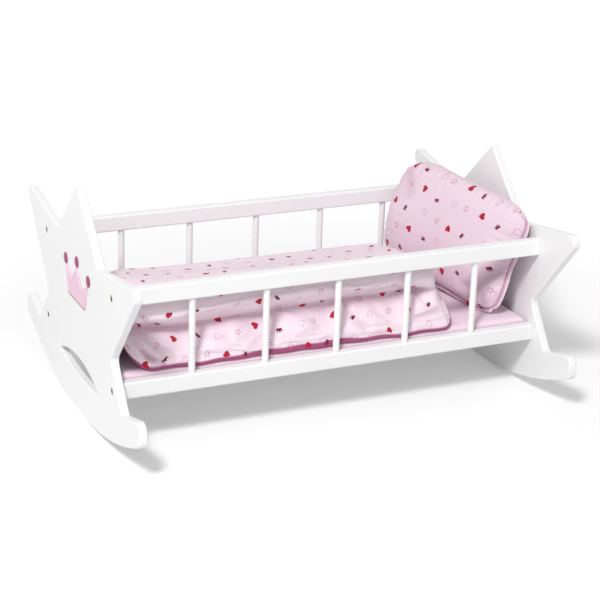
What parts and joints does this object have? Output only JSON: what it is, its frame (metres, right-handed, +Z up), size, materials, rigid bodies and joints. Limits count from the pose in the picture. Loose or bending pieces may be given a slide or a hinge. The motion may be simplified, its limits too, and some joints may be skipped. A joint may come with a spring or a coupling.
{
  "type": "doll cradle",
  "caption": "Rocking cradle for dolls: crown-topped end panels with rocker feet, spindle sides, a bed base, mattress, folded quilt and pillow.",
  "frame": {"origin": "on the floor, midway between the two end panels and under the centre line of the bed", "axes": "+X along the bed towards the head end, +Y towards the back side, +Z up"},
  "size_m": [0.503, 0.3956, 0.2543],
  "materials": {
    "white_paint": "white satin paint on wood",
    "pale_pink_paint": "pale pink satin paint",
    "deep_pink_paint": "deep pink satin paint",
    "yellow_zinc": "yellow zinc plating",
    "plain_pink_cotton": "plain woven cotton",
    "pink_cotton": "woven cotton printed with small motifs"
  },
  "bodies": {
    "frame": {"foot_end_panel": "white_paint", "head_end_panel": "white_paint", "front_top_rail": "white_paint", "front_bottom_rail": "white_paint", "back_top_rail": "white_paint", "back_bottom_rail": "white_paint", "base_board": "white_paint", "front_spindle_1": "white_paint", "front_spindle_2": "white_paint", "front_spindle_3": "white_paint", "front_spindle_4": "white_paint", "front_spindle_5": "white_paint", "back_spindle_1": "white_paint", "back_spindle_2": "white_paint", "back_spindle_3": "white_paint", "back_spindle_4": "white_paint", "back_spindle_5": "white_paint", "foot_crown": "pale_pink_paint", "head_crown": "pale_pink_paint", "foot_crown_dot_front": "deep_pink_paint", "foot_crown_dot_middle": "deep_pink_paint", "foot_crown_dot_back": "deep_pink_paint", "head_crown_dot_front": "deep_pink_paint", "head_crown_dot_middle": "deep_pink_paint", "head_crown_dot_back": "deep_pink_paint", "foot_screw_front_top": "yellow_zinc", "foot_screw_front_bottom": "yellow_zinc", "foot_screw_back_top": "yellow_zinc", "foot_screw_back_bottom": "yellow_zinc", "head_screw_front_top": "yellow_zinc", "head_screw_front_bottom": "yellow_zinc", "head_screw_back_top": "yellow_zinc", "head_screw_back_bottom": "yellow_zinc"},
    "mattress": {"mattress": "plain_pink_cotton"},
    "quilt": {"quilt": "pink_cotton"},
    "pillow": {"pillow": "pink_cotton"}
  },
  "joints": [
    {"name": "mattress_lift", "type": "slide", "parent": "frame", "child": "mattress", "axis": [0, 0, 1], "range_m": [0, 0.2]},
    {"name": "quilt_lift", "type": "slide", "parent": "mattress", "child": "quilt", "axis": [0, 0, 1], "range_m": [0, 0.18]},
    {"name": "pillow_lift", "type": "slide", "parent": "mattress", "child": "pillow", "axis": [0, 0, 1], "range_m": [0, 0.18]}
  ]
}
